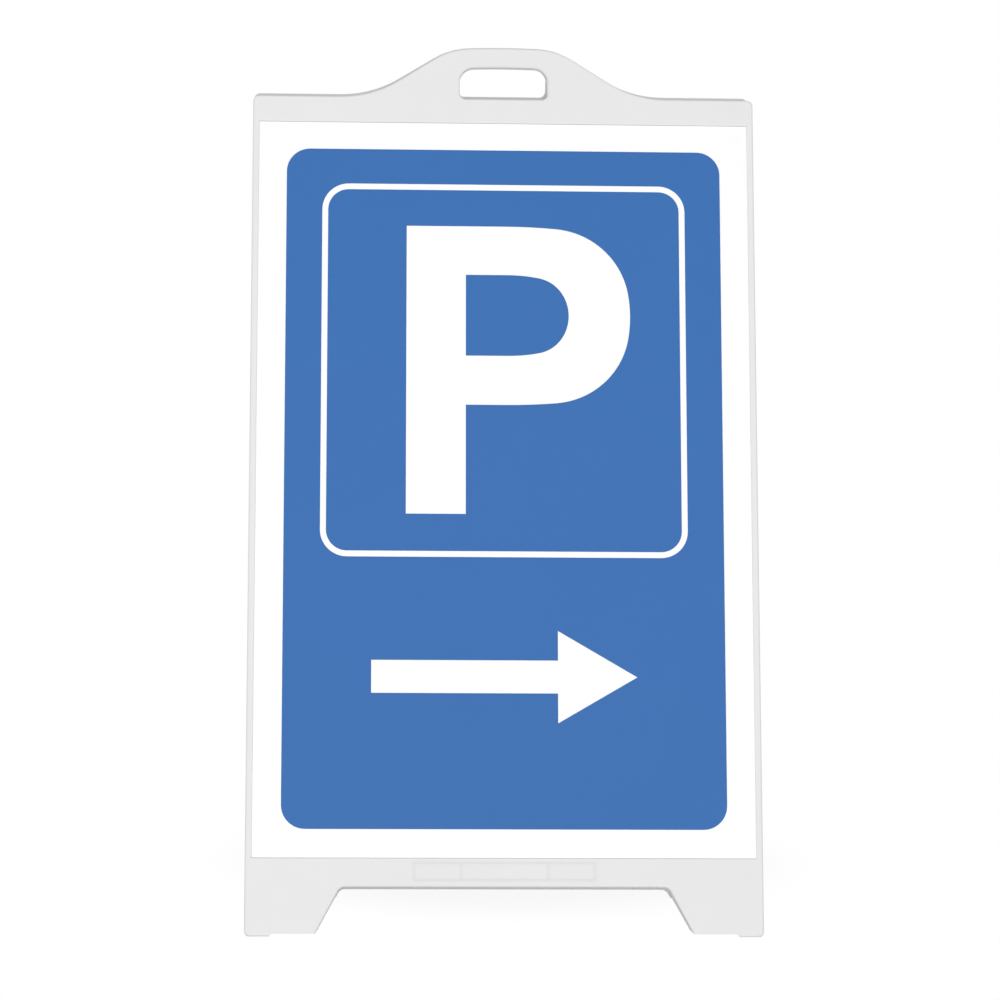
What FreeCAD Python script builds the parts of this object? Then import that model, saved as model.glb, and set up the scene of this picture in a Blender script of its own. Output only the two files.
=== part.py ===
"""Folding two-panel pavement sign with parking boards, in millimetres.

Two identical plastic mouldings stand back to back as an A and are hinged at the shoulders.
Each holds a printed board in a bay behind two side lips. Two slotted stays set the spread.

A panel is drawn upright in a frame of its own: X across it, Y from its outer face inwards,
Z up along it from the floor line. It is then leaned back, and the rear one is the front one
turned half a turn about the upright axis. The world frame has +X to the right of someone who
faces the front board, -Y towards them, +Z up, and its origin on the floor between the feet.
"""
import FreeCAD, Part
import math
import operator
import os
from types import SimpleNamespace

import Sketcher

SIZES = {
    # board and the bay that holds it
    "board_width": 609.6,
    "board_height": 914.4,
    "board_thickness": 4.0,
    "board_side_gap": 0.5,
    "board_end_gap": 0.3,
    "board_face_gap": 0.4,
    "lip_cover": 0.8,
    "bay_depth": 5.9,
    "bay_base": 94.3,
    "lip_radius": 1.2,
    # moulding
    "rail_wall": 6.8,
    "top_band": 33.2,
    "panel_depth": 40.0,
    "wall": 3.2,
    "edge_radius": 2.5,
    "corner_radius": 7.0,
    "lean": 19.0,
    "closed_gap": 0.5,
    "stop_gap": 0.4,
    # crown and hand slot
    "crown_rise": 64.4,
    "crown_depth": 10.0,
    "crown_slope": 32.7,
    "crown_blend_radius": 134.0,
    "crown_bend_radius": 87.5,
    "crown_arch_radius": 1052.0,
    "crown_arch_turn": 2.34,
    "grip_height": 24.8,
    "slot_width": 109.6,
    "slot_height": 41.4,
    "slot_top_radius": 18.0,
    "slot_bottom_radius": 7.5,
    "slot_bevel": 1.6,
    # feet
    "foot_width": 114.6,
    "notch_height": 59.6,
    "notch_slope": 28.2,
    "notch_radius": 10.0,
    "pad_width": 29.3,
    "pad_height": 3.5,
    "flange_top_depth": 26.0,
    "flange_foot_depth": 16.0,
    # three blank label fields on the bottom rail, framed by a low raised line
    "label_base": 67.4,
    "label_height": 21.8,
    "label_width": 219.0,
    "label_middle": 105.0,
    "label_line": 1.2,
    "label_rise": 0.7,
    # stiffening ribs behind the bay
    "rib_thickness": 3.0,
    "rib_inset": 6.0,
    "rib_columns": 4,
    "rib_rows": 5,
    "lane_width": 50.0,
    # hinge
    "hinge_drop": 15.0,
    "knuckle_radius": 9.5,
    "ear_thickness": 6.0,
    "tongue_thickness": 14.0,
    "hinge_pin_radius": 3.5,
    "pin_fit": 0.05,
    "side_play": 0.3,
    # stays
    "stay_drop": 250.0,
    "stay_inset": 12.0,
    "stay_edge": 23.8,
    "stay_width": 16.0,
    "stay_thickness": 5.0,
    "stay_flange": 3.0,
    "stay_web_depth": 1.5,
    "stay_pin_radius": 4.0,
    "stay_ear_thickness": 5.0,
    "guide_angle": 1.8,
    "guide_margin": 8.0,
    "guide_rim_gap": 2.0,
    # hexagon-headed pins and their nuts
    "head_rim": 2.5,
    "head_height": 2.5,
    "nut_thickness": 2.6,
    "pin_tail": 1.0,
    # print on the board
    "film_thickness": 0.25,
    "field_side_margin": 35.3,
    "field_end_margin": 34.4,
    "field_radius": 29.0,
    "border_margin": 44.4,
    "border_height": 469.0,
    "border_line": 7.2,
    "border_radius": 33.0,
    "letter_height": 362.2,
    "letter_width": 276.7,
    "letter_shift": 17.9,
    "stem_width": 73.3,
    "bar_width": 61.7,
    "bowl_height": 225.8,
    "bowl_flat_radius": 700.0,
    "bowl_flat_turn": 5.0,
    "bowl_bend_radius": 99.0,
    "bowl_bend_turn": 80.0,
    "counter_reach": 127.4,
    "counter_flat_radius": 200.0,
    "counter_flat_turn": 11.0,
    "counter_bend_radius": 44.0,
    "counter_bend_turn": 57.0,
    "arrow_length": 323.4,
    "arrow_middle": 219.5,
    "shaft_height": 40.2,
    "head_length": 96.5,
    "arrow_head_height": 112.8,
}

LEFT_TURN, RIGHT_TURN = 1, -1
OPERATIONS = {"+": operator.add, "-": operator.sub, "*": operator.mul, "/": operator.truediv}


class Measure:
    """A number and the formula that gives it from the sheet's cells."""

    def __init__(self, value, formula):
        self.value = value
        self.formula = formula

    def __add__(self, other):
        return combine(self, "+", other)

    def __radd__(self, other):
        return combine(other, "+", self)

    def __sub__(self, other):
        return combine(self, "-", other)

    def __rsub__(self, other):
        return combine(other, "-", self)

    def __mul__(self, other):
        return combine(self, "*", other)

    def __rmul__(self, other):
        return combine(other, "*", self)

    def __truediv__(self, other):
        return combine(self, "/", other)

    def __neg__(self):
        return combine(0, "-", self)


def measure(number):
    """Turns a bare number into a Measure and leaves a Measure as it is."""
    return number if isinstance(number, Measure) else Measure(float(number), str(number))


def combine(left, sign, right):
    left, right = measure(left), measure(right)
    value = OPERATIONS[sign](left.value, right.value)
    return Measure(value, f"({left.formula} {sign} {right.formula})")


def sine(angle):
    angle = measure(angle)
    return Measure(math.sin(math.radians(angle.value)), f"sin({angle.formula})")


def cosine(angle):
    angle = measure(angle)
    return Measure(math.cos(math.radians(angle.value)), f"cos({angle.formula})")


def tangent(angle):
    angle = measure(angle)
    return Measure(math.tan(math.radians(angle.value)), f"tan({angle.formula})")


def root(number):
    return Measure(math.sqrt(number.value), f"sqrt({number.formula})")


doc = FreeCAD.newDocument("parking_sign")
sheet = doc.addObject("Spreadsheet::Sheet", "sizes")
for row, (alias, number) in enumerate(SIZES.items(), start=1):
    sheet.set(f"A{row}", alias)
    sheet.set(f"B{row}", str(number))
    sheet.setAlias(f"B{row}", alias)
doc.recompute()
size = SimpleNamespace(**{alias: Measure(float(number), f"sizes.{alias}")
                          for alias, number in SIZES.items()})

# outline of the moulding, in the panel's own frame
half_board = size.board_width / 2
half_opening = half_board - size.lip_cover
half_groove = half_board + size.board_side_gap
half_width = half_groove + size.rail_wall
half_inside = half_width - size.wall
bay_top = size.bay_base + size.board_height + 2 * size.board_end_gap
shoulder = bay_top + size.top_band
crown_top = shoulder + size.crown_rise
bay_back = size.bay_depth + size.wall
half_notch = half_width - size.foot_width
slot_bottom = crown_top - size.grip_height - size.slot_height

# hinge axis and the plane in which the two mouldings meet
hinge_up = shoulder - size.hinge_drop
hinge_in = size.panel_depth + size.closed_gap / 2
rib_half = half_inside - size.lane_width
rib_pitch = 2 * rib_half / (size.rib_columns - 1)
hinge_across = rib_half - rib_pitch / 2

# a stay turns twice as fast as the hinge, so its far eye keeps to a straight line through the hinge
stay_across = half_width - size.stay_edge
stay_pivot_up = hinge_up - size.stay_drop
stay_pivot_in = hinge_in - size.stay_inset
stay_length = root(size.stay_drop * size.stay_drop + size.stay_inset * size.stay_inset)
open_angle = 2 * size.lean + size.guide_angle
guide_start = 2 * (size.stay_drop * cosine(open_angle) - size.stay_inset * sine(open_angle))
guide_end = 2 * (size.stay_drop * cosine(size.guide_angle) - size.stay_inset * sine(size.guide_angle))
peg_slot_radius = size.stay_pin_radius + size.side_play

# a cut that must pass a face goes this far beyond it
PAST = 5.0


def origin_plane(body, role):
    return next(plane for plane in body.Origin.OriginFeatures if plane.Role == role)


def new_sketch(body, name, role, offset):
    """A sketch on one of the body's origin planes, moved along its normal by offset."""
    sketch = body.newObject("Sketcher::SketchObject", name)
    sketch.AttachmentSupport = [(origin_plane(body, role), "")]
    sketch.MapMode = "FlatFace"
    offset = measure(offset)
    sketch.AttachmentOffset = FreeCAD.Placement(
        FreeCAD.Vector(0, 0, offset.value), FreeCAD.Rotation())
    sketch.setExpression("AttachmentOffset.Base.z", offset.formula)
    return sketch


def face_sketch(body, name, depth):
    """A sketch in the panel's X and Z, at a depth behind the outer face."""
    return new_sketch(body, name, "XZ_Plane", -measure(depth))


def side_sketch(body, name, across):
    """A sketch in the panel's Y and Z, at a distance to the right of its middle."""
    return new_sketch(body, name, "YZ_Plane", across)


def arc_between(start, end, radius, turn):
    """The shorter arc from start to end; turn says to which side it bends."""
    chord = end - start
    rise = math.sqrt(max(radius ** 2 - chord.Length ** 2 / 4, 0.0))
    normal = FreeCAD.Vector(-chord.y, chord.x, 0).normalize()
    centre = (start + end) / 2 + normal * rise * turn
    first, last = (start, end) if turn == LEFT_TURN else (end, start)
    from_angle = math.atan2(first.y - centre.y, first.x - centre.x)
    to_angle = math.atan2(last.y - centre.y, last.x - centre.x)
    if to_angle < from_angle:
        to_angle += 2 * math.pi
    circle = Part.Circle(centre, FreeCAD.Vector(0, 0, 1), radius)
    return Part.ArcOfCircle(circle, from_angle, to_angle)


def bind(sketch, kind, formula, *points):
    """Adds a dimension whose value follows a formula of the sheet's cells."""
    number = sketch.addConstraint(Sketcher.Constraint(kind, *points, formula.value))
    name = f"size_{number}"
    sketch.renameConstraint(number, name)
    sketch.setExpression(f"Constraints.{name}", formula.formula)


def add_outline(sketch, path):
    """Adds a closed outline. Each vertex is (x, y), or (x, y, radius, turn) where an arc leaves it."""
    first_edge = sketch.GeometryCount
    ends = []
    for number, vertex in enumerate(path):
        following = path[(number + 1) % len(path)]
        start = FreeCAD.Vector(measure(vertex[0]).value, measure(vertex[1]).value, 0)
        end = FreeCAD.Vector(measure(following[0]).value, measure(following[1]).value, 0)
        if len(vertex) == 2:
            sketch.addGeometry(Part.LineSegment(start, end), False)
            ends.append((1, 2))
        else:
            radius, turn = vertex[2:]
            sketch.addGeometry(arc_between(start, end, measure(radius).value, turn), False)
            ends.append((1, 2) if turn == LEFT_TURN else (2, 1))
    for number, vertex in enumerate(path):
        edge = first_edge + number
        after = first_edge + (number + 1) % len(path)
        start_point = ends[number][0]
        joined = ends[(number + 1) % len(path)][0]
        sketch.addConstraint(Sketcher.Constraint("Coincident", edge, ends[number][1], after, joined))
        bind(sketch, "DistanceX", measure(vertex[0]), -1, 1, edge, start_point)
        bind(sketch, "DistanceY", measure(vertex[1]), -1, 1, edge, start_point)
        if len(vertex) > 2:
            bind(sketch, "Radius", measure(vertex[2]), edge)


def add_circle(sketch, across, up, radius):
    edge = sketch.GeometryCount
    centre = FreeCAD.Vector(measure(across).value, measure(up).value, 0)
    sketch.addGeometry(Part.Circle(centre, FreeCAD.Vector(0, 0, 1), measure(radius).value), False)
    bind(sketch, "DistanceX", measure(across), -1, 1, edge, 3)
    bind(sketch, "DistanceY", measure(up), -1, 1, edge, 3)
    bind(sketch, "Radius", measure(radius), edge)


def extrude(body, kind, sketch, length, reverse=False, both_ways=False):
    """A Pad or Pocket of a sketch, named after it."""
    feature = body.newObject(f"PartDesign::{kind}", f"{sketch.Name}_{kind.lower()}")
    feature.Profile = sketch
    feature.setExpression("Length", measure(length).formula)
    feature.Reversed = reverse
    if both_ways:
        feature.SideType = "Symmetric"
    return feature


def pad_inwards(body, name, depth, length, *paths):
    """Adds material from a depth behind the outer face towards the inside."""
    sketch = face_sketch(body, name, depth)
    for path in paths:
        add_outline(sketch, path)
    return extrude(body, "Pad", sketch, length, reverse=True)


def cut_inwards(body, name, depth, length, *paths):
    """Removes material from a depth behind the outer face towards the inside."""
    sketch = face_sketch(body, name, depth)
    for path in paths:
        add_outline(sketch, path)
    return extrude(body, "Pocket", sketch, length)


def pad_across(body, name, across, length, path, bore=None):
    """Adds material from a plane across the panel towards its right."""
    sketch = side_sketch(body, name, across)
    add_outline(sketch, path)
    if bore:
        add_circle(sketch, *bore)
    return extrude(body, "Pad", sketch, length)


def mirrored(path):
    """Completes a path that runs from the left to the middle with its mirror image.

    An arc belongs to the vertex that it leaves, so on the way back it moves to its other end.
    """
    back = []
    for number in range(len(path) - 1, -1, -1):
        vertex = path[number]
        before = path[number - 1] if number > 0 else ()
        back.append((-vertex[0], vertex[1]) + tuple(before[2:]))
    return path + back


def rounded_box(left, bottom, right, top, radius):
    """A rectangle with four equal round corners, counter-clockwise."""
    return [
        (left + radius, bottom),
        (right - radius, bottom, radius, LEFT_TURN),
        (right, bottom + radius),
        (right, top - radius, radius, LEFT_TURN),
        (right - radius, top),
        (left + radius, top, radius, LEFT_TURN),
        (left, top - radius),
        (left, bottom + radius, radius, LEFT_TURN),
    ]


def box(left, bottom, right, top):
    return [(left, bottom), (right, bottom), (right, top), (left, top)]


def notch_side(height, inset):
    """Distance from the middle to the slanted side of the notch, or to its wall's inner face."""
    run = (size.notch_height - height) * tangent(size.notch_slope)
    return half_notch + run + measure(inset) / cosine(size.notch_slope)


def blank_path():
    """Face of the moulding without its crown: sides, feet and notch under straight shoulders."""
    corner = size.corner_radius
    reach = size.notch_radius * tangent((90 - size.notch_slope) / 2)
    return mirrored([
        (-half_width + corner, shoulder, corner, LEFT_TURN),
        (-half_width, shoulder - corner),
        (-half_width, corner, corner, LEFT_TURN),
        (-half_width + corner, 0),
        (-notch_side(0, 0), 0),
        (-half_notch - reach * sine(size.notch_slope),
         size.notch_height - reach * cosine(size.notch_slope), size.notch_radius, RIGHT_TURN),
        (-half_notch + reach, size.notch_height),
    ])


def crown_path(inset, sill=None):
    """Crown outline moved inwards by inset: blend, slope, bend and arch over the shoulder line.

    With a sill the outline goes on down to that height.
    """
    slope, arch_turn = size.crown_slope, size.crown_arch_turn
    blend = size.crown_blend_radius
    bend = size.crown_bend_radius
    arch = size.crown_arch_radius
    blend_up = shoulder + blend
    arch_up = crown_top - arch
    bend_across = (arch - bend) * sine(arch_turn)
    bend_up = arch_up + (arch - bend) * cosine(arch_turn)
    fall = bend_up + bend * cosine(slope) - shoulder - blend * (1 - cosine(slope))
    foot = bend_across + bend * sine(slope) + fall / tangent(slope) + blend * sine(slope)
    start = foot - root(2 * blend * inset + inset * inset)
    blend, bend, arch = blend + inset, bend - inset, arch - inset
    outline = [
        (-start, shoulder, blend, LEFT_TURN),
        (-foot + blend * sine(slope), blend_up - blend * cosine(slope)),
        (-bend_across - bend * sine(slope), bend_up + bend * cosine(slope), bend, RIGHT_TURN),
        (-arch * sine(arch_turn), arch_up + arch * cosine(arch_turn), arch, RIGHT_TURN),
    ]
    if sill:
        outline = [(-start, sill)] + outline
    return mirrored(outline)


def slot_path(grow):
    """Hand slot, or its collar when grown: an arched top over small bottom corners."""
    half = size.slot_width / 2 + grow
    top_radius = size.slot_top_radius + grow
    low_radius = size.slot_bottom_radius + grow
    arch = size.crown_arch_radius - size.grip_height + grow
    arch_centre = crown_top - size.crown_arch_radius
    bend_across = half - top_radius
    bend_rise = root((arch - top_radius) * (arch - top_radius) - bend_across * bend_across)
    stretch = arch / (arch - top_radius)
    bottom = slot_bottom - grow
    return [
        (-half + low_radius, bottom),
        (half - low_radius, bottom, low_radius, LEFT_TURN),
        (half, bottom + low_radius),
        (half, arch_centre + bend_rise, top_radius, LEFT_TURN),
        (bend_across * stretch, arch_centre + bend_rise * stretch, arch, LEFT_TURN),
        (-bend_across * stretch, arch_centre + bend_rise * stretch, top_radius, LEFT_TURN),
        (-half, arch_centre + bend_rise),
        (-half, bottom + low_radius, low_radius, LEFT_TURN),
    ]


def cavity_path(top):
    """Hollow behind the face, one wall inside the feet, the notch and the sides."""
    sole_rise = size.panel_depth * tangent(size.lean)
    bottom = sole_rise + size.pad_height + size.wall / cosine(size.lean)
    ceiling = size.notch_height + size.wall
    return [
        (-half_inside, bottom),
        (-notch_side(bottom, size.wall), bottom),
        (-notch_side(ceiling, size.wall), ceiling),
        (notch_side(ceiling, size.wall), ceiling),
        (notch_side(bottom, size.wall), bottom),
        (half_inside, bottom),
        (half_inside, top),
        (-half_inside, top),
    ]


def knuckle_path(centre_in, centre_up, radius, root_in):
    """Side view of an ear: a neck that rises from the moulding and ends in a half round."""
    return [
        (root_in, centre_up - radius),
        (centre_in, centre_up - radius, radius, LEFT_TURN),
        (centre_in + radius, centre_up, radius, LEFT_TURN),
        (centre_in, centre_up + radius),
        (root_in, centre_up + radius),
    ]


def guide_point(distance, along, outwards):
    """A point of the stay's guide slot, at a distance from the hinge axis.

    along adds to the distance down the slot, outwards goes square to it towards the rim.
    """
    lean_sine, lean_cosine = sine(size.guide_angle), cosine(size.guide_angle)
    reach = distance + along
    return (hinge_in - reach * lean_sine + outwards * lean_cosine,
            hinge_up - reach * lean_cosine - outwards * lean_sine)


def guide_slot_path():
    radius = peg_slot_radius
    return [
        guide_point(guide_start, 0, radius),
        guide_point(guide_end, 0, radius) + (radius, RIGHT_TURN),
        guide_point(guide_end, radius, 0) + (radius, RIGHT_TURN),
        guide_point(guide_end, 0, -radius),
        guide_point(guide_start, 0, -radius) + (radius, RIGHT_TURN),
        guide_point(guide_start, -radius, 0) + (radius, RIGHT_TURN),
    ]


def guide_rib_path():
    """Side view of the rib that carries the guide slot, with its rim corners rounded."""
    reach = peg_slot_radius + size.guide_margin
    low = hinge_up - guide_end * cosine(size.guide_angle) - reach
    high = hinge_up - guide_start * cosine(size.guide_angle) + reach
    root_in = size.bay_depth + size.wall / 2
    rim = size.panel_depth - size.guide_rim_gap
    radius = size.guide_margin
    return [
        (root_in, low),
        (rim - radius, low, radius, LEFT_TURN),
        (rim, low + radius),
        (rim, high - radius, radius, LEFT_TURN),
        (rim - radius, high),
        (root_in, high),
    ]


def soften_face_edges(body, name, kind, amount, chosen):
    """Fillet or Chamfer on the edges of the body's tip that lie on the outer face and pass a test."""
    doc.recompute()
    tip = body.Tip
    names = []
    for number, edge in enumerate(tip.Shape.Edges, start=1):
        middle = edge.valueAt((edge.FirstParameter + edge.LastParameter) / 2)
        on_face = all(abs(point.y) < 1e-4 for point in (middle, *(v.Point for v in edge.Vertexes)))
        if on_face and chosen(middle):
            names.append(f"Edge{number}")
    softened = body.newObject(f"PartDesign::{kind}", name)
    softened.Base = (tip, names)
    softened.setExpression("Radius" if kind == "Fillet" else "Size", amount.formula)
    return softened


def hollow_panel(body, prefix):
    """Opens the back of the moulding: one wall is left behind the face and round the bay."""
    open_depth = size.panel_depth + PAST
    cut_inwards(body, f"{prefix}_hollow", bay_back, open_depth - bay_back,
                cavity_path(shoulder - size.wall))
    cut_inwards(body, f"{prefix}_foot_hollow", size.wall, open_depth - size.wall,
                cavity_path(size.bay_base - size.wall))
    cut_inwards(body, f"{prefix}_head_hollow", size.wall, open_depth - size.wall,
                box(-half_inside, bay_top + size.wall, half_inside, shoulder - size.wall))
    cut_inwards(body, f"{prefix}_crown_hollow", size.wall, size.crown_depth + PAST - size.wall,
                crown_path(size.wall))


def thin_soles(body, prefix):
    """Hollows each foot down to a sole of even thickness, parallel to the floor."""
    lean_tangent = tangent(size.lean)
    sole = size.pad_height + size.wall / cosine(size.lean)
    low = size.wall * lean_tangent + sole
    high = size.panel_depth * lean_tangent + sole
    inner = notch_side(low, size.wall)
    width = half_inside - inner
    for side, across in (("left", -half_inside), ("right", inner)):
        sketch = side_sketch(body, f"{prefix}_{side}_sole", across)
        add_outline(sketch, [
            (size.wall, low), (size.panel_depth, high), (size.panel_depth, high + PAST),
            (size.wall, high + PAST)])
        extrude(body, "Pocket", sketch, width, reverse=True)


def cut_soles(body, prefix):
    """Trims the feet to the floor on which the leaning panel stands, all but the pads a bit more."""
    sketch = face_sketch(body, f"{prefix}_soles", 0)
    sketch.AttachmentOffset = FreeCAD.Placement(
        FreeCAD.Vector(), FreeCAD.Rotation(FreeCAD.Vector(1, 0, 0), size.lean.value))
    sketch.setExpression("AttachmentOffset.Rotation.Angle", "sizes.lean")
    pad_edge = half_width - size.pad_width
    below = size.panel_depth * sine(size.lean) + PAST
    add_outline(sketch, mirrored([
        (-half_width - PAST, -below), (-half_width - PAST, 0), (-pad_edge, 0),
        (-pad_edge + size.pad_height, size.pad_height * cosine(size.lean))]))
    reach = size.panel_depth / cosine(size.lean) + PAST
    extrude(body, "Pocket", sketch, 2 * reach, both_ways=True)


def cut_back_notch_walls(body, prefix):
    """Leaves only a flange on the notch's slanted sides, which narrows towards the floor."""
    top = size.notch_height - size.notch_radius
    rim = size.panel_depth + PAST
    sketch = side_sketch(body, f"{prefix}_flange", 0)
    add_outline(sketch, [
        (size.flange_foot_depth, -rim), (rim, -rim), (rim, top), (size.flange_top_depth, top),
        (size.flange_foot_depth, 0)])
    extrude(body, "Pocket", sketch, 2 * notch_side(0, size.wall), both_ways=True)


def add_ribs(body, prefix):
    """Columns from the notch to the top and rows between them, drawn once and repeated."""
    depth = size.panel_depth - size.rib_inset - size.wall / 2
    half_rib = size.rib_thickness / 2
    column = pad_inwards(
        body, f"{prefix}_column", size.wall / 2, depth,
        box(-rib_half - half_rib, size.notch_height + size.wall / 2,
            -rib_half + half_rib, shoulder - size.wall / 2))
    columns = body.newObject("PartDesign::LinearPattern", f"{prefix}_columns")
    columns.Originals = [column]
    columns.Direction = (origin_plane(body, "X_Axis"), [""])
    columns.Mode = "Extent"
    columns.setExpression("Length", (2 * rib_half).formula)
    columns.setExpression("Occurrences", size.rib_columns.formula)
    body.Tip = columns
    row_pitch = (bay_top - size.bay_base) / (size.rib_rows + 1)
    row_up = size.bay_base + row_pitch
    row = pad_inwards(
        body, f"{prefix}_row", size.wall / 2, depth,
        box(-rib_half, row_up - half_rib, rib_half, row_up + half_rib))
    rows = body.newObject("PartDesign::LinearPattern", f"{prefix}_rows")
    rows.Originals = [row]
    rows.Direction = (origin_plane(body, "Z_Axis"), [""])
    rows.Mode = "Extent"
    rows.setExpression("Length", (row_pitch * (size.rib_rows - 1)).formula)
    rows.setExpression("Occurrences", size.rib_rows.formula)
    body.Tip = rows


def add_slot_walls(body, prefix):
    """Collar round the hand slot, and a sill where the slot dips below the shoulder."""
    pad_inwards(body, f"{prefix}_collar", size.wall / 2, size.crown_depth - size.wall / 2,
                slot_path(size.wall))
    half = size.slot_width / 2 + size.wall
    pad_inwards(body, f"{prefix}_sill", size.wall / 2, size.panel_depth - size.wall / 2,
                box(-half, slot_bottom - size.wall, half, shoulder - size.wall / 2))


def cut_bay(body, prefix):
    """Opens the board's bay between the lips, and the grooves under them."""
    lip = size.bay_depth - size.board_thickness - size.board_face_gap
    cut_inwards(body, f"{prefix}_bay", 0, size.bay_depth,
                box(-half_opening, size.bay_base, half_opening, bay_top))
    cut_inwards(body, f"{prefix}_groove", lip, size.bay_depth - lip,
                box(-half_groove, size.bay_base, half_groove, bay_top))


def bevel_lands(body, prefix):
    """Slants the rim above the hinge, so that the open panels meet there on upright lands."""
    lean_tangent = tangent(size.lean)
    start = hinge_up - (size.stop_gap / 2 / cosine(size.lean) - size.closed_gap / 2) / lean_tangent
    past_top = crown_top + PAST
    rim = size.panel_depth
    sketch = side_sketch(body, f"{prefix}_land", 0)
    add_outline(sketch, [
        (rim, start), (rim + PAST, start), (rim + PAST, past_top),
        (rim - (past_top - start) * lean_tangent, past_top)])
    extrude(body, "Pocket", sketch, 2 * (half_width + PAST), both_ways=True)


def add_hinge_ears(body, prefix):
    """A fork on the left and a tongue on the right, which fit those of the turned panel."""
    profile = knuckle_path(hinge_in, hinge_up, size.knuckle_radius, size.wall / 2)
    bore = (hinge_in, hinge_up, size.hinge_pin_radius + size.pin_fit)
    tongue = size.tongue_thickness
    reach = tongue / 2 + size.side_play
    pad_across(body, f"{prefix}_outer_ear", -hinge_across - reach - size.ear_thickness,
               size.ear_thickness, profile, bore)
    pad_across(body, f"{prefix}_inner_ear", -hinge_across + reach, size.ear_thickness, profile, bore)
    pad_across(body, f"{prefix}_tongue", hinge_across - tongue / 2, tongue, profile, bore)


def add_stay_carriers(body, prefix):
    """An ear for a stay's pin on the left, and the guide for the other stay's peg on the right."""
    thickness = size.stay_ear_thickness
    radius = size.stay_width / 2 + size.guide_rim_gap
    pad_across(body, f"{prefix}_stay_ear", -stay_across - thickness / 2, thickness,
               knuckle_path(stay_pivot_in, stay_pivot_up, radius, size.bay_depth + size.wall / 2),
               (stay_pivot_in, stay_pivot_up, size.stay_pin_radius + size.pin_fit))
    sketch = side_sketch(body, f"{prefix}_guide", stay_across - thickness / 2)
    add_outline(sketch, guide_rib_path())
    add_outline(sketch, guide_slot_path())
    extrude(body, "Pad", sketch, thickness)


def build_panel(name):
    """The moulding: face, crown, feet, bay, open back, ribs, hinge ears and stay carriers."""
    body = doc.addObject("PartDesign::Body", name)
    pad_inwards(body, f"{name}_blank", 0, size.panel_depth, blank_path())
    pad_inwards(body, f"{name}_crown", 0, size.crown_depth,
                crown_path(measure(0), shoulder - size.wall))
    soften_face_edges(body, f"{name}_face_edges", "Fillet", size.edge_radius, lambda point: True)
    hollow_panel(body, name)
    thin_soles(body, name)
    cut_soles(body, name)
    cut_back_notch_walls(body, name)
    add_ribs(body, name)
    add_slot_walls(body, name)
    cut_bay(body, name)
    bevel_lands(body, name)
    cut_inwards(body, f"{name}_slot", 0, size.panel_depth, slot_path(measure(0)))
    soften_face_edges(body, f"{name}_bay_rim", "Fillet", size.lip_radius, on_bay)
    soften_face_edges(body, f"{name}_slot_rim", "Chamfer", size.slot_bevel, on_slot)
    add_label_frame(body, name)
    add_hinge_ears(body, name)
    add_stay_carriers(body, name)
    return body


def on_bay(point):
    """True on the rim of the bay."""
    return abs(point.x) < half_opening.value + 1 and (
        size.bay_base.value - 1 < point.z < bay_top.value + 1)


def on_slot(point):
    """True on the rim of the hand slot."""
    return abs(point.x) < size.slot_width.value / 2 + 1 and (
        slot_bottom.value - 1 < point.z < crown_top.value - size.grip_height.value + 1)


def add_label_frame(body, prefix):
    """A low raised line round three blank label fields on the bottom rail."""
    half, half_middle = size.label_width / 2, size.label_middle / 2
    half_line = size.label_line / 2
    bottom, top = size.label_base, size.label_base + size.label_height
    inner_bottom, inner_top = bottom + size.label_line, top - size.label_line
    pad_inwards(
        body, f"{prefix}_label_frame", -size.label_rise, size.label_rise + size.wall / 2,
        box(-half, bottom, half, top),
        box(-half + size.label_line, inner_bottom, -half_middle - half_line, inner_top),
        box(-half_middle + half_line, inner_bottom, half_middle - half_line, inner_top),
        box(half_middle + half_line, inner_bottom, half - size.label_line, inner_top))


def flat_piece(name, depth, thickness, *paths):
    """A sheet of even thickness that lies parallel to the panel's face."""
    body = doc.addObject("PartDesign::Body", name)
    pad_inwards(body, f"{name}_sheet", depth, thickness, *paths)
    return body


def board_path():
    bottom = size.bay_base + size.board_end_gap
    return box(-half_board, bottom, half_board, bottom + size.board_height)


def field_path():
    """Blue field with its margin of bare board."""
    half = half_board - size.field_side_margin
    bottom = size.bay_base + size.board_end_gap + size.field_end_margin
    top = size.bay_base + size.board_end_gap + size.board_height - size.field_end_margin
    return rounded_box(-half, bottom, half, top, size.field_radius)


def border_path(inset):
    """Outer or inner edge of the border line round the letter."""
    half = half_board - size.field_side_margin - size.border_margin - inset
    bottom = border_top() - size.border_height + inset
    return rounded_box(-half, bottom, half, border_top() - inset, size.border_radius - inset)


def border_top():
    board_top = size.bay_base + size.board_end_gap + size.board_height
    return board_top - size.field_end_margin - size.border_margin


def bowl_path(left, middle, half_height, tip, flat_radius, flat_turn, bend_radius, bend_turn):
    """A D shape whose round side is a slack arc, a tight one and a slack one down to the tip."""
    tip_radius = (half_height - flat_radius * (1 - cosine(flat_turn))
                  - bend_radius * (cosine(flat_turn) - cosine(bend_turn))) / cosine(bend_turn)
    bend_end = tip - tip_radius * (1 - sine(bend_turn))
    flat_end = bend_end - bend_radius * (sine(bend_turn) - sine(flat_turn))
    start = flat_end - flat_radius * sine(flat_turn)
    bend_rise = tip_radius * cosine(bend_turn)
    flat_rise = half_height - flat_radius * (1 - cosine(flat_turn))
    return [
        (left, middle - half_height),
        (start, middle - half_height, flat_radius, LEFT_TURN),
        (flat_end, middle - flat_rise, bend_radius, LEFT_TURN),
        (bend_end, middle - bend_rise, tip_radius, LEFT_TURN),
        (bend_end, middle + bend_rise, bend_radius, LEFT_TURN),
        (flat_end, middle + flat_rise, flat_radius, LEFT_TURN),
        (start, middle + half_height),
        (left, middle + half_height),
    ]


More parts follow.
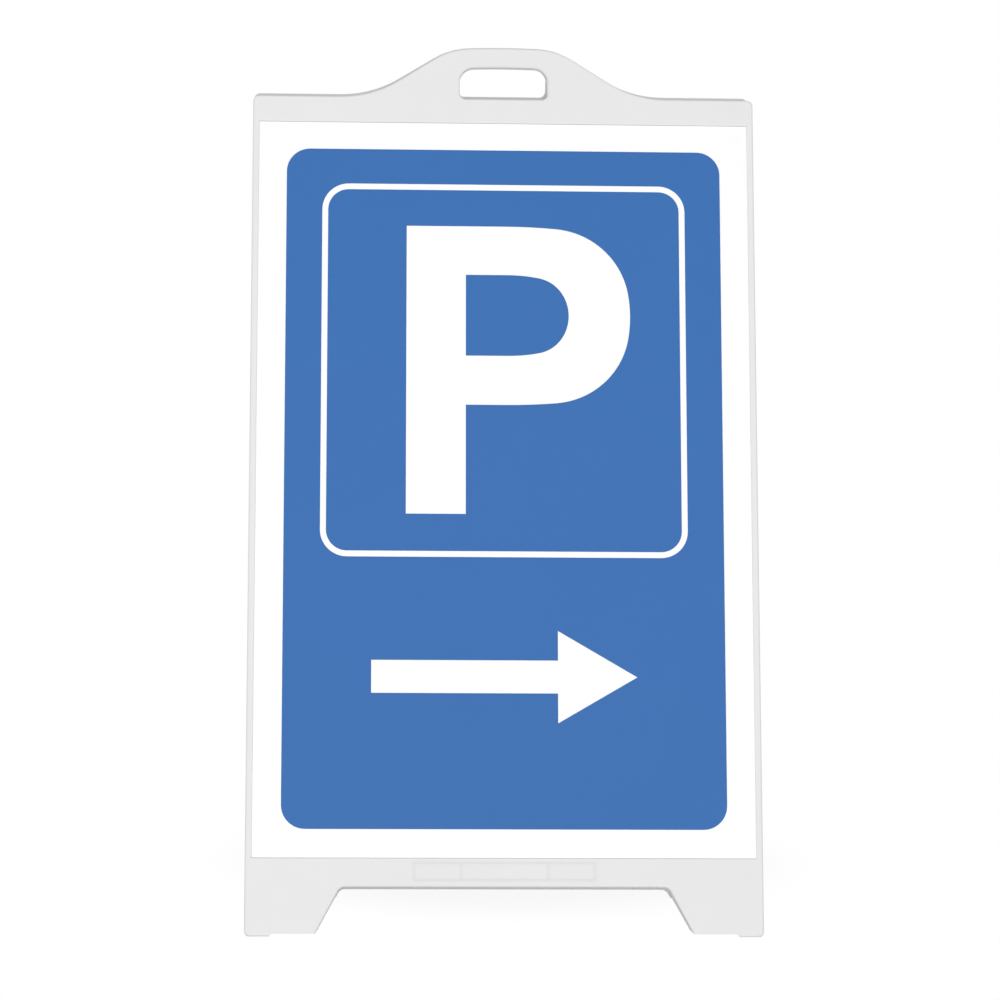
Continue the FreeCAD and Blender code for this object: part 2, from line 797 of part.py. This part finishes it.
def letter_paths():
    """The capital P: stem and bowl in one outline, and the counter inside it."""
    middle = border_top() - size.border_height / 2
    top = middle + size.letter_height / 2
    bottom = middle - size.letter_height / 2
    left = size.letter_shift - size.letter_width / 2
    stem = left + size.stem_width
    half_bowl = size.bowl_height / 2
    bowl_middle = top - half_bowl
    bowl = bowl_path(stem, bowl_middle, half_bowl, left + size.letter_width, size.bowl_flat_radius,
                     size.bowl_flat_turn, size.bowl_bend_radius, size.bowl_bend_turn)
    counter = bowl_path(stem, bowl_middle, half_bowl - size.bar_width, stem + size.counter_reach,
                        size.counter_flat_radius, size.counter_flat_turn,
                        size.counter_bend_radius, size.counter_bend_turn)
    outline = [(left, bottom), (stem, bottom)] + bowl[:-1] + [(left, top)]
    return outline, counter


def arrow_path():
    """An arrow that points to the right, with a straight shaft and a three-cornered head."""
    middle = size.bay_base + size.board_end_gap + size.arrow_middle
    half_shaft = size.shaft_height / 2
    half_head = size.arrow_head_height / 2
    tip = size.arrow_length / 2
    neck = tip - size.head_length
    return [
        (-tip, middle - half_shaft), (neck, middle - half_shaft), (neck, middle - half_head),
        (tip, middle), (neck, middle + half_head), (neck, middle + half_shaft),
        (-tip, middle + half_shaft)]


def hexagon_path(half_flat):
    """A regular hexagon round zero, with two of its flats upright."""
    corner = half_flat / cosine(30)
    low = corner / 2
    return [
        (half_flat, -low), (half_flat, low), (0, corner),
        (-half_flat, low), (-half_flat, -low), (0, -corner)]


def build_pin(name, radius, grip):
    """A hexagon-headed pin along +X, whose head ends at zero and whose nut sits at the grip."""
    body = doc.addObject("PartDesign::Body", name)
    head = side_sketch(body, f"{name}_head", -size.head_height)
    add_outline(head, hexagon_path(radius + size.head_rim))
    extrude(body, "Pad", head, size.head_height)
    shank = side_sketch(body, f"{name}_shank", -size.head_height / 2)
    add_circle(shank, 0, 0, radius)
    extrude(body, "Pad", shank, size.head_height / 2 + grip + size.nut_thickness + size.pin_tail)
    return body


def build_nut(name, pin_radius):
    """A hexagon nut along +X from zero, as wide as the head of its pin."""
    body = doc.addObject("PartDesign::Body", name)
    sketch = side_sketch(body, f"{name}_ring", 0)
    add_outline(sketch, hexagon_path(pin_radius + size.head_rim))
    add_circle(sketch, 0, 0, pin_radius + size.pin_fit)
    extrude(body, "Pad", sketch, size.nut_thickness)
    return body


def build_stay(name):
    """A flat arm from its pivot eye up to its peg eye, with a web sunk into both faces."""
    body = doc.addObject("PartDesign::Body", name)
    radius = size.stay_width / 2
    sketch = side_sketch(body, f"{name}_arm", 0)
    add_outline(sketch, [
        (radius, 0), (radius, stay_length, radius, LEFT_TURN),
        (0, stay_length + radius, radius, LEFT_TURN), (-radius, stay_length),
        (-radius, 0, radius, LEFT_TURN), (0, -radius, radius, LEFT_TURN)])
    bore = size.stay_pin_radius + size.pin_fit
    add_circle(sketch, 0, 0, bore)
    add_circle(sketch, 0, stay_length, bore)
    extrude(body, "Pad", sketch, size.stay_thickness)
    web_half = radius - size.stay_flange
    web_start = radius + size.stay_flange
    web = rounded_box(-web_half, web_start, web_half, stay_length - web_start, web_half / 2)
    for face, across in (("back", measure(0)), ("front", size.stay_thickness)):
        sketch = side_sketch(body, f"{name}_{face}_web", across)
        add_outline(sketch, web)
        extrude(body, "Pocket", sketch, size.stay_web_depth, reverse=face == "back")
    return body


def turned(angle, axis):
    return FreeCAD.Placement(FreeCAD.Vector(), FreeCAD.Rotation(FreeCAD.Vector(*axis), angle))


def moved(across, inwards, up):
    point = FreeCAD.Vector(*(measure(number).value for number in (across, inwards, up)))
    return FreeCAD.Placement(point, FreeCAD.Rotation())


foot_reach = hinge_up * sine(size.lean) + hinge_in * cosine(size.lean)
LEANED = moved(0, -foot_reach, 0) * turned(-size.lean.value, (1, 0, 0))
HALF_TURN = turned(180, (0, 0, 1))
AS_DRAWN = FreeCAD.Placement()


def place(body, placement):
    body.Placement = placement
    pieces.append(body)


def build_side(side, turn):
    """One panel with its board and the print on it."""
    face = size.bay_depth - size.board_thickness
    film = size.film_thickness
    placement = turn * LEANED
    place(build_panel(f"{side}_panel"), placement)
    place(flat_piece(f"{side}_board", face, size.board_thickness, board_path()), placement)
    place(flat_piece(f"{side}_blue_field", face - film, film, field_path()), placement)
    overlay = face - 2 * film
    place(flat_piece(f"{side}_border_line", overlay, film,
                     border_path(measure(0)), border_path(size.border_line)), placement)
    place(flat_piece(f"{side}_letter", overlay, film, *letter_paths()), placement)
    place(flat_piece(f"{side}_arrow", overlay, film, arrow_path()), placement)


def build_hardware(side, turn):
    """Hinge pin, stay and their fastenings on one side of the sign."""
    panel = turn * LEANED
    knuckles = 2 * (size.ear_thickness + size.side_play) + size.tongue_thickness
    hinge_start = -hinge_across - knuckles / 2
    hinge = panel * moved(hinge_start, hinge_in, hinge_up)
    place(build_pin(f"{side}_hinge_pin", size.hinge_pin_radius, knuckles), hinge)
    place(build_nut(f"{side}_hinge_nut", size.hinge_pin_radius), hinge * moved(knuckles, 0, 0))

    ear = size.stay_ear_thickness
    stay_start = -stay_across + ear / 2 + size.side_play
    stay_end = stay_start + size.stay_thickness
    pivot = panel * moved(0, stay_pivot_in, stay_pivot_up)
    inset_angle = math.degrees(math.atan2(size.stay_inset.value, size.stay_drop.value))
    arm_angle = 180 - 2 * (open_angle.value + inset_angle) + inset_angle
    arm = pivot * turned(-arm_angle, (1, 0, 0))
    place(build_stay(f"{side}_stay"), arm * moved(stay_start, 0, 0))
    pin_grip = size.stay_thickness + 2 * size.side_play + ear
    pin_start = stay_end + size.side_play
    place(build_pin(f"{side}_stay_pin", size.stay_pin_radius, pin_grip),
          pivot * moved(pin_start, 0, 0) * HALF_TURN)
    place(build_nut(f"{side}_stay_nut", size.stay_pin_radius),
          pivot * moved(pin_start - pin_grip, 0, 0) * HALF_TURN)
    eye = arm * moved(0, 0, stay_length)
    peg_grip = size.stay_thickness + 2 * size.side_play + ear
    place(build_pin(f"{side}_stay_peg", size.stay_pin_radius, peg_grip),
          eye * moved(stay_end, 0, 0) * HALF_TURN)
    place(build_nut(f"{side}_peg_nut", size.stay_pin_radius),
          eye * moved(stay_end - peg_grip, 0, 0) * HALF_TURN)


def check_model():
    """Stops with a plain message if an object failed or a piece isn't one sound solid."""
    for item in doc.Objects:
        if "Invalid" in item.State or "Error" in item.State:
            raise RuntimeError(f"{item.Name} failed: {item.State}")
    for piece in pieces:
        shape = piece.Shape
        if shape.isNull() or not shape.isValid() or len(shape.Solids) != 1:
            raise RuntimeError(f"{piece.Label} isn't one valid solid")


pieces = []
build_side("front", AS_DRAWN)
build_side("rear", HALF_TURN)
build_hardware("left", AS_DRAWN)
build_hardware("right", HALF_TURN)
doc.recompute()
check_model()

os.makedirs("parts", exist_ok=True)
for piece in pieces:
    piece.Shape.exportStep(f"parts/{piece.Label}.step")
    bounds = piece.Shape.BoundBox
    print(f"{piece.Label}: {piece.Shape.Volume / 1000:.1f} cm3, {bounds.XLength:.1f} x "
          f"{bounds.YLength:.1f} x {bounds.ZLength:.1f} mm, from z {bounds.ZMin:.2f}")
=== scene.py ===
# %% [markdown]
# # A folding pavement sign for parking
#
# The sign is two plastic mouldings that stand back to back as an A. Each holds a printed board in
# a bay behind two side lips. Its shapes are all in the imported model, so this lesson is about what
# they are made of, and about a soft, plain studio that shows it.
#
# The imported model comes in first. Its pieces stand in metres, with +X to the right of someone who
# faces the front board, -Y towards them and +Z up. They stay where they are: what changes is the
# material in their slots.

import math

import bpy
from mathutils import Matrix, Vector

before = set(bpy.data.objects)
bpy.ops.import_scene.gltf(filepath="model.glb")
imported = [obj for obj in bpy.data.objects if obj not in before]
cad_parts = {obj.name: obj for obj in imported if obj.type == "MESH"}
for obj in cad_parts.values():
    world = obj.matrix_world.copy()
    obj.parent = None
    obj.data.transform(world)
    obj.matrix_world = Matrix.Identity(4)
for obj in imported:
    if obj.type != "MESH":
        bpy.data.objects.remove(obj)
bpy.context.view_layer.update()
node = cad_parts

# %% [markdown]
# ## The camera
#
# The photograph was taken with a long lens from over four metres away, a little higher than the
# sign and a little to its left, so the uprights lean together only slightly. The lens is worked
# out from how far off the camera stands, and the small roll is the tilt of the picture's horizon.

# %% Place the camera
SENSOR_WIDTH = 36.0
LENS = 128.79
CAMERA_PLACE = Vector((-0.1954, -4.5224, 1.1760))
YAW, PITCH, ROLL = math.radians(2.519), math.radians(8.842), math.radians(0.764)

camera_data = bpy.data.cameras.new("camera")
camera_data.sensor_width = SENSOR_WIDTH
camera_data.lens = LENS
camera = bpy.data.objects.new("camera", camera_data)
bpy.context.scene.collection.objects.link(camera)
bpy.context.scene.camera = camera

turn = (Matrix.Rotation(-YAW, 4, "Z")
        @ Matrix.Rotation(math.pi / 2 - PITCH, 4, "X")
        @ Matrix.Rotation(ROLL, 4, "Z"))
camera.matrix_world = Matrix.Translation(CAMERA_PLACE) @ turn
print(f"lens {LENS:.0f} mm, {-CAMERA_PLACE.y:.2f} m in front of the sign")

# %% [markdown]
# ## Helpers for materials
#
# A colour is written as it is seen on screen, in hex, and Blender's shaders want it linear. One
# function turns the first into the second. Another adds a node, sets its values and links its
# inputs, so that each material below reads like a list of what the surface does. A third gives
# one for rays that look at a surface and nought for rays that only carry its light.

# %% Colour and node helpers
MM = 0.001


def linear(hex_colour):
    """Linear RGBA of a colour written as #RRGGBB."""
    channels = [int(hex_colour[place:place + 2], 16) / 255 for place in (1, 3, 5)]
    return [c / 12.92 if c <= 0.04045 else ((c + 0.055) / 1.055) ** 2.4 for c in channels] + [1.0]


def add_node(tree, kind, values=None, links=None, **settings):
    """A new node: settings are its own properties, values its sockets, links what feeds them."""
    made = tree.nodes.new(kind)
    for name, value in settings.items():
        setattr(made, name, value)
    for socket, value in (values or {}).items():
        made.inputs[socket].default_value = value
    for socket, source in (links or {}).items():
        tree.links.new(source, made.inputs[socket])
    return made


def start_material(name):
    """An empty material, its node tree and the Object coordinates that its patterns read."""
    material = bpy.data.materials.new(name)
    material.use_nodes = True
    tree = material.node_tree
    tree.nodes.clear()
    place = add_node(tree, "ShaderNodeTexCoord").outputs["Object"]
    return material, tree, place


def finish_material(material, tree, surface):
    """Joins the surface to the material's output and gives the material back."""
    add_node(tree, "ShaderNodeOutputMaterial", links={"Surface": surface})
    print("material:", material.name)
    return material


def add_seen(tree):
    """One for what is seen directly, in a reflection or through something clear, else nought."""
    path = add_node(tree, "ShaderNodeLightPath")
    direct = add_node(tree, "ShaderNodeMath", {}, {0: path.outputs["Is Camera Ray"],
                                                  1: path.outputs["Is Glossy Ray"]},
                      operation="MAXIMUM")
    either = add_node(tree, "ShaderNodeMath", {}, {0: direct.outputs[0],
                                                  1: path.outputs["Is Transmission Ray"]},
                      operation="MAXIMUM")
    return either.outputs[0]


# %% [markdown]
# ## Moulded polyethylene
#
# The panels are injection moulded in high-density polyethylene, a waxy plastic. Out of the mould
# it has a fine spark-eroded grain that spreads the highlights, a gloss that changes slowly where
# the plastic cooled unevenly, and faint clouds in its light grey. The real grain is about 0.3 mm,
# too fine to show from four metres, so it is drawn a little coarser.
#
# The colour goes slightly greyer in the last 3 mm of a corner, as along the lips and the blank
# raised frames. This greying is painted shade, where each corner shades itself.


# %% Material for the panels
def make_moulded_polyethylene():
    material, tree, place = start_material("moulded_polyethylene_light_grey")
    clouds = add_node(tree, "ShaderNodeTexNoise",
                      {"Scale": 1 / (90 * MM), "Detail": 3.0, "Roughness": 0.5},
                      {"Vector": place})
    tint = add_node(tree, "ShaderNodeMix", {"A": linear("#E5E5E5"), "B": linear("#E9E9E9")},
                    {"Factor": clouds.outputs["Fac"]}, data_type="RGBA")
    # Painted shade: ambient occlusion darkens the colour within 3 mm of a corner.
    corner = add_node(tree, "ShaderNodeAmbientOcclusion", {"Distance": 3 * MM}, samples=8)
    painted_corner_shade = add_node(tree, "ShaderNodeMapRange",
                    {"From Min": 0.35, "From Max": 0.95, "To Min": 0.78, "To Max": 1.0},
                    {"Value": corner.outputs["AO"]})
    corner_shaded_tint = add_node(tree, "ShaderNodeVectorMath", {},
                      {"Vector": tint.outputs["Result"], "Scale": painted_corner_shade.outputs["Result"]},
                      operation="SCALE")
    cooling = add_node(tree, "ShaderNodeTexNoise", {"Scale": 1 / (35 * MM), "Detail": 2.0},
                       {"Vector": place})
    gloss = add_node(tree, "ShaderNodeMapRange", {"To Min": 0.50, "To Max": 0.62},
                     {"Value": cooling.outputs["Fac"]})
    grain = add_node(tree, "ShaderNodeTexNoise",
                     {"Scale": 1 / (0.9 * MM), "Detail": 2.0, "Roughness": 0.6},
                     {"Vector": place})
    relief = add_node(tree, "ShaderNodeBump", {"Strength": 0.35, "Distance": 0.05 * MM},
                      {"Height": grain.outputs["Fac"]})
    skin = add_node(tree, "ShaderNodeBsdfPrincipled", {"IOR": 1.54, "Specular IOR Level": 0.25},
                    {"Base Color": corner_shaded_tint.outputs["Vector"], "Roughness": gloss.outputs["Result"],
                     "Normal": relief.outputs["Normal"]})
    return finish_material(material, tree, skin.outputs["BSDF"])


moulded_polyethylene = make_moulded_polyethylene()

# %% [markdown]
# ## Fluted polypropylene board
#
# The boards are twin-wall polypropylene: two thin skins over upright flutes, 4 mm apart. The
# skins sink very slightly between the flutes, which shows as fine upright lines in a reflection.
# The print lies on the same skin, so it carries the same lines under its ink.

# %% Height of the flutes
FLUTE_PITCH = 4 * MM
# A wave texture of scale 1 repeats after this length.
WAVE_PITCH = 2 * math.pi / 20


def add_flutes(tree, place, depth):
    """Bump of the upright flutes, a sine along X."""
    wave = add_node(tree, "ShaderNodeTexWave", {"Scale": WAVE_PITCH / FLUTE_PITCH},
                    {"Vector": place}, wave_type="BANDS", bands_direction="X",
                    wave_profile="SIN")
    return add_node(tree, "ShaderNodeBump", {"Strength": 0.5, "Distance": depth},
                    {"Height": wave.outputs["Fac"]})


# %% Material for the boards
def make_fluted_polypropylene():
    material, tree, place = start_material("fluted_polypropylene_white")
    flutes = add_flutes(tree, place, 0.03 * MM)
    haze = add_node(tree, "ShaderNodeTexNoise", {"Scale": 1 / (60 * MM), "Detail": 3.0},
                    {"Vector": place})
    gloss = add_node(tree, "ShaderNodeMapRange", {"To Min": 0.30, "To Max": 0.42},
                     {"Value": haze.outputs["Fac"]})
    tint = add_node(tree, "ShaderNodeMix", {"A": linear("#FCFCFC"), "B": linear("#FEFEFE")},
                    {"Factor": haze.outputs["Fac"]}, data_type="RGBA")
    skin = add_node(tree, "ShaderNodeBsdfPrincipled", {"IOR": 1.49, "Specular IOR Level": 0.4},
                    {"Base Color": tint.outputs["Result"], "Roughness": gloss.outputs["Result"],
                     "Normal": flutes.outputs["Normal"]})
    return finish_material(material, tree, skin.outputs["BSDF"])


fluted_polypropylene = make_fluted_polypropylene()

# %% [markdown]
# ## Screen-printed ink
#
# The blue field is one flat coat of screen ink, and the white border, letter and arrow are left
# white with a clear coat over them. Ink dries satin, with a faint orange peel about 2 mm wide and
# hardly any change of tone.


# %% Materials for the print
def make_screen_ink(name, dark, light, rough_from, rough_to):
    material, tree, place = start_material(name)
    flutes = add_flutes(tree, place, 0.02 * MM)
    coat = add_node(tree, "ShaderNodeTexNoise",
                    {"Scale": 1 / (120 * MM), "Detail": 4.0, "Roughness": 0.55},
                    {"Vector": place})
    tint = add_node(tree, "ShaderNodeMix", {"A": linear(dark), "B": linear(light)},
                    {"Factor": coat.outputs["Fac"]}, data_type="RGBA")
    peel = add_node(tree, "ShaderNodeTexNoise", {"Scale": 1 / (2 * MM), "Detail": 1.0},
                    {"Vector": place})
    relief = add_node(tree, "ShaderNodeBump", {"Strength": 0.2, "Distance": 0.02 * MM},
                      {"Height": peel.outputs["Fac"], "Normal": flutes.outputs["Normal"]})
    gloss = add_node(tree, "ShaderNodeMapRange", {"To Min": rough_from, "To Max": rough_to},
                     {"Value": coat.outputs["Fac"]})
    skin = add_node(tree, "ShaderNodeBsdfPrincipled", {"IOR": 1.49, "Specular IOR Level": 0.2},
                    {"Base Color": tint.outputs["Result"], "Roughness": gloss.outputs["Result"],
                     "Normal": relief.outputs["Normal"]})
    return finish_material(material, tree, skin.outputs["BSDF"])


blue_ink = make_screen_ink("screen_ink_blue", "#386DB0", "#3B70B2", 0.55, 0.62)
white_ink = make_screen_ink("screen_ink_white", "#FCFCFC", "#FEFEFE", 0.51, 0.58)

# %% [markdown]
# ## Moulded nylon and zinc-plated steel
#
# The stays are moulded in nylon, greyer than the panels, with a slightly mottled satin skin. The
# headed pins, the pegs and their nuts are steel with bright zinc on it: metal, fairly smooth, and
# clouded in patches of a few millimetres where the zinc crystals differ.


# %% Material for the stays
def make_moulded_nylon():
    material, tree, place = start_material("moulded_nylon_grey")
    mottle = add_node(tree, "ShaderNodeTexNoise", {"Scale": 1 / (12 * MM), "Detail": 3.0},
                      {"Vector": place})
    tint = add_node(tree, "ShaderNodeMix", {"A": linear("#C9C9CB"), "B": linear("#D2D2D3")},
                    {"Factor": mottle.outputs["Fac"]}, data_type="RGBA")
    gloss = add_node(tree, "ShaderNodeMapRange", {"To Min": 0.34, "To Max": 0.46},
                     {"Value": mottle.outputs["Fac"]})
    grain = add_node(tree, "ShaderNodeTexNoise", {"Scale": 1 / (0.6 * MM), "Detail": 1.0},
                     {"Vector": place})
    relief = add_node(tree, "ShaderNodeBump", {"Strength": 0.3, "Distance": 0.04 * MM},
                      {"Height": grain.outputs["Fac"]})
    skin = add_node(tree, "ShaderNodeBsdfPrincipled", {"IOR": 1.53},
                    {"Base Color": tint.outputs["Result"], "Roughness": gloss.outputs["Result"],
                     "Normal": relief.outputs["Normal"]})
    return finish_material(material, tree, skin.outputs["BSDF"])


moulded_nylon = make_moulded_nylon()


# %% Material for the pins, pegs and nuts
def make_zinc_plated_steel():
    material, tree, place = start_material("zinc_plated_steel")
    crystals = add_node(tree, "ShaderNodeTexVoronoi", {"Scale": 1 / (2.5 * MM)},
                        {"Vector": place}, feature="SMOOTH_F1")
    tint = add_node(tree, "ShaderNodeMix", {"A": linear("#B9BBBD"), "B": linear("#CDCED0")},
                    {"Factor": crystals.outputs["Distance"]}, data_type="RGBA")
    gloss = add_node(tree, "ShaderNodeMapRange", {"To Min": 0.26, "To Max": 0.42},
                     {"Value": crystals.outputs["Distance"]})
    turning = add_node(tree, "ShaderNodeTexNoise", {"Scale": 1 / (0.5 * MM), "Detail": 1.0},
                       {"Vector": place})
    relief = add_node(tree, "ShaderNodeBump", {"Strength": 0.15, "Distance": 0.02 * MM},
                      {"Height": turning.outputs["Fac"]})
    skin = add_node(tree, "ShaderNodeBsdfPrincipled", {"Metallic": 1.0},
                    {"Base Color": tint.outputs["Result"], "Roughness": gloss.outputs["Result"],
                     "Normal": relief.outputs["Normal"]})
    return finish_material(material, tree, skin.outputs["BSDF"])


zinc_plated_steel = make_zinc_plated_steel()

# %% [markdown]
# ## Dress the pieces
#
# Every piece of the model gets the material of the real one in its slot. The names say what each
# piece is, so the last words of a name pick its material.

# %% Give each piece its material
finishes = {
    "panel": moulded_polyethylene,
    "board": fluted_polypropylene,
    "blue_field": blue_ink,
    "border_line": white_ink,
    "letter": white_ink,
    "arrow": white_ink,
    "stay": moulded_nylon,
    "pin": zinc_plated_steel,
    "peg": zinc_plated_steel,
    "nut": zinc_plated_steel,
}
for name, piece in node.items():
    ending = next(ending for ending in finishes if name.endswith(ending))
    piece.data.materials.clear()
    piece.data.materials.append(finishes[ending])
    print(f"{name}: {finishes[ending].name}")

# %% [markdown]
# ## A plain studio
#
# The photograph is a cut-out on white. Its light is flat and comes mostly from near the camera,
# so faces are even and only the rounded edges, which turn away from it, go greyer. An even dome
# gives half of the light and a large soft lamp in front the other half. A second lamp does the
# same for the back. Together they bring a surface that faces them to about the colour it is
# written in.
#
# The floor is pale, and shows itself to the camera close to white, so that only a breath of
# shadow stays between the feet and a little to their right. Around the sign it is all white and
# meets the background unseen.

# %% Floor
FLOOR_SIZE = 80.0
# How much of the floor's look is plain white, under the sign and away from it.
WHITE_NEAR, WHITE_FAR = 0.90, 1.0
# The white grows between these two distances from the middle of the shade. The scale makes the
# shade an oval, wider than deep, and the move shifts it a little to the sign's right.
SHADE_FROM, SHADE_TO = 0.22, 0.40
SHADE_SCALE, SHADE_MOVE = (0.95, 1.2, 1), (-0.02, 0, 0)


def make_floor_paint():
    material, tree, place = start_material("studio_floor_white")
    matt = add_node(tree, "ShaderNodeBsdfDiffuse", {"Color": linear("#E6E6E6")})
    white = add_node(tree, "ShaderNodeEmission", {"Strength": 1.0})
    oval = add_node(tree, "ShaderNodeMapping", {"Location": SHADE_MOVE, "Scale": SHADE_SCALE},
                    {"Vector": place})
    far = add_node(tree, "ShaderNodeVectorMath", {}, {0: oval.outputs["Vector"]},
                   operation="LENGTH")
    share = add_node(tree, "ShaderNodeMapRange",
                     {"From Min": SHADE_FROM, "From Max": SHADE_TO,
                      "To Min": WHITE_NEAR, "To Max": WHITE_FAR},
                     {"Value": far.outputs["Value"]}, interpolation_type="SMOOTHSTEP")
    shown = add_node(tree, "ShaderNodeMath", {}, {0: add_seen(tree), 1: share.outputs["Result"]},
                     operation="MULTIPLY")
    mixed = add_node(tree, "ShaderNodeMixShader", {}, {0: shown.outputs[0], 1: matt.outputs[0],
                                                      2: white.outputs[0]})
    return finish_material(material, tree, mixed.outputs["Shader"])


bpy.ops.mesh.primitive_plane_add(size=FLOOR_SIZE, location=(0, 0, 0))
floor = bpy.context.object
floor.name = "studio_floor"
floor.data.materials.append(make_floor_paint())

# %% Light dome
DOME_LIGHT, DOME_SEEN = 0.54, 1.0

world = bpy.data.worlds.new("light_dome")
bpy.context.scene.world = world
world.use_nodes = True
sky = world.node_tree
sky.nodes.clear()
level = add_node(sky, "ShaderNodeMapRange", {"To Min": DOME_LIGHT, "To Max": DOME_SEEN},
                 {"Value": add_seen(sky)})
dome = add_node(sky, "ShaderNodeBackground", {"Color": linear("#FFFFFF")},
                {"Strength": level.outputs["Result"]})
add_node(sky, "ShaderNodeOutputWorld", links={"Surface": dome.outputs["Background"]})
print(f"dome: {DOME_LIGHT} as light, {DOME_SEEN} as background")

# %% Soft lamps in front and behind
LAMP_SIZE = 2.2
LAMP_POWER = 200.0
# The lamps point well over the sign, so that its feet get no more of them than its crown.
LAMP_AIM = Vector((0, 0, 4.2))


def add_soft_lamp(name, place):
    """A large square lamp."""
    data = bpy.data.lights.new(name, "AREA")
    data.size = LAMP_SIZE
    data.energy = LAMP_POWER
    lamp = bpy.data.objects.new(name, data)
    bpy.context.scene.collection.objects.link(lamp)
    lamp.location = place
    lamp.rotation_euler = (LAMP_AIM - lamp.location).to_track_quat("-Z", "Y").to_euler()
    print(f"{name}: {lamp.location.length:.1f} m from the sign")


add_soft_lamp("front_lamp", (-0.3, -6.0, 1.2))
add_soft_lamp("back_lamp", (0.3, 6.0, 1.2))

# %% [markdown]
# ## The view transform
#
# The view transform is Standard, so that colours come out as they are written.

# %% Finish
bpy.context.scene.view_settings.view_transform = "Standard"
